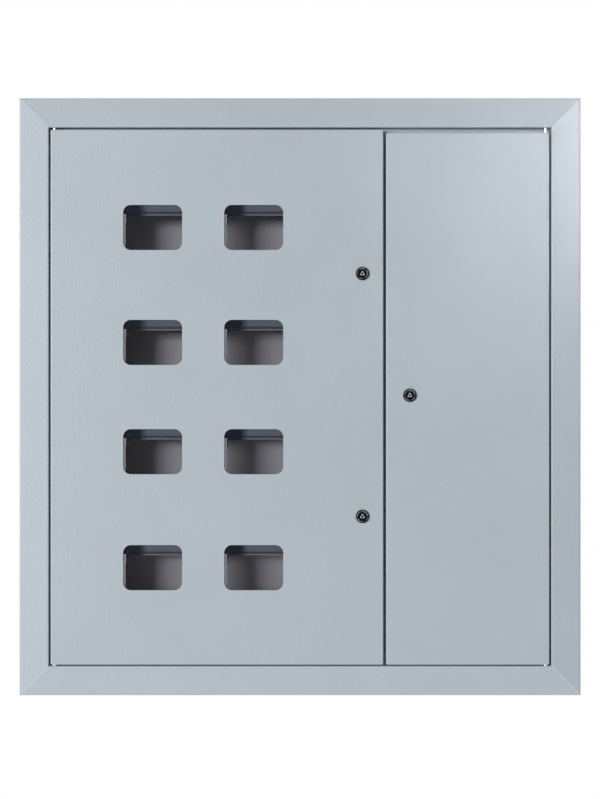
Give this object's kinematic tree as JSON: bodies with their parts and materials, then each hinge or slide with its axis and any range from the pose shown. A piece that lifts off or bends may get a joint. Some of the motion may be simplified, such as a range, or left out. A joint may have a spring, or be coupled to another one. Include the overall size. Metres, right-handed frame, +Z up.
{
  "type": "floor distribution board",
  "caption": "Grey steel stairwell distribution board with a mitred front frame, a metering door with glazed windows and a narrow low-voltage door, both on pin hinges with cam locks.",
  "frame": {"origin": "centre of the four wall fixing holes, on the back face of the case", "axes": "+X to the right of the board as seen from the front, +Y into the wall, +Z up; the doors face -Y"},
  "size_m": [0.94, 0.1534, 1],
  "materials": {
    "powder_coat": "light grey fine-textured powder coat, satin",
    "galvanised": "hot-dip galvanised sheet with a soft spangle",
    "zinc_plated": "bright zinc plating",
    "window_glass": "clear pane with a faint grey tint, polished",
    "lock_black": "black, semi-gloss",
    "lock_core": "black core with a bright key stub",
    "brass": "drawn brass, satin",
    "support_plastic": "dark grey insulating plastic, matte"
  },
  "bodies": {
    "case": {"bar_screws": "zinc_plated", "bar_supports": "support_plastic", "bottom_wall": "powder_coat", "breaker_cover": "powder_coat", "case_screws": "zinc_plated", "case_shell": "powder_coat", "centre_post": "powder_coat", "din_rails": "galvanised", "earth_bar": "brass", "earth_stud": "zinc_plated", "frame_bottom": "powder_coat", "frame_left": "powder_coat", "frame_right": "powder_coat", "frame_top": "powder_coat", "meter_plate_1": "galvanised", "meter_plate_2": "galvanised", "meter_plate_3": "galvanised", "meter_plate_4": "galvanised", "mounting_panel": "galvanised", "neutral_bar": "brass", "partition": "powder_coat", "spacers": "zinc_plated", "top_wall": "powder_coat", "upright_left": "galvanised", "upright_middle": "galvanised", "upright_right": "galvanised"},
    "left_door": {"left_door": "powder_coat", "left_door_studs": "zinc_plated", "left_hinge_brackets": "zinc_plated", "left_hinge_pins": "zinc_plated", "left_lock_nuts": "zinc_plated", "lower_lock_barrel": "lock_black", "pane_1": "window_glass", "pane_2": "window_glass", "pane_3": "window_glass", "pane_4": "window_glass", "pane_5": "window_glass", "pane_6": "window_glass", "pane_7": "window_glass", "pane_8": "window_glass", "pane_retainer_1": "galvanised", "pane_retainer_2": "galvanised", "pane_retainer_3": "galvanised", "pane_retainer_4": "galvanised", "upper_lock_barrel": "lock_black"},
    "right_door": {"right_door": "powder_coat", "right_door_stud": "zinc_plated", "right_hinge_brackets": "zinc_plated", "right_hinge_pins": "zinc_plated", "right_lock_barrel": "lock_black", "right_lock_nut": "zinc_plated"},
    "upper_lock": {"upper_cam_screw": "zinc_plated", "upper_lock_cam": "zinc_plated", "upper_lock_rotor": "lock_core"},
    "lower_lock": {"lower_cam_screw": "zinc_plated", "lower_lock_cam": "zinc_plated", "lower_lock_rotor": "lock_core"},
    "right_lock": {"right_cam_screw": "zinc_plated", "right_lock_cam": "zinc_plated", "right_lock_rotor": "lock_core"}
  },
  "joints": [
    {"name": "left_door_hinge", "type": "hinge", "parent": "case", "child": "left_door", "pos_m": [-0.4118, -0.144, 0], "axis": [0, 0, -1], "range_deg": [0, 110]},
    {"name": "right_door_hinge", "type": "hinge", "parent": "case", "child": "right_door", "pos_m": [0.4118, -0.144, 0], "axis": [0, 0, 1], "range_deg": [0, 110]},
    {"name": "upper_lock_turn", "type": "hinge", "parent": "left_door", "child": "upper_lock", "pos_m": [0.1045, -0.15, 0.2062], "axis": [0, -1, 0], "range_deg": [0, 90]},
    {"name": "lower_lock_turn", "type": "hinge", "parent": "left_door", "child": "lower_lock", "pos_m": [0.1045, -0.15, -0.2004], "axis": [0, -1, 0], "range_deg": [0, 90]},
    {"name": "right_lock_turn", "type": "hinge", "parent": "right_door", "child": "right_lock", "pos_m": [0.1838, -0.15, 0.0024], "axis": [0, 1, 0], "range_deg": [0, 90]}
  ]
}
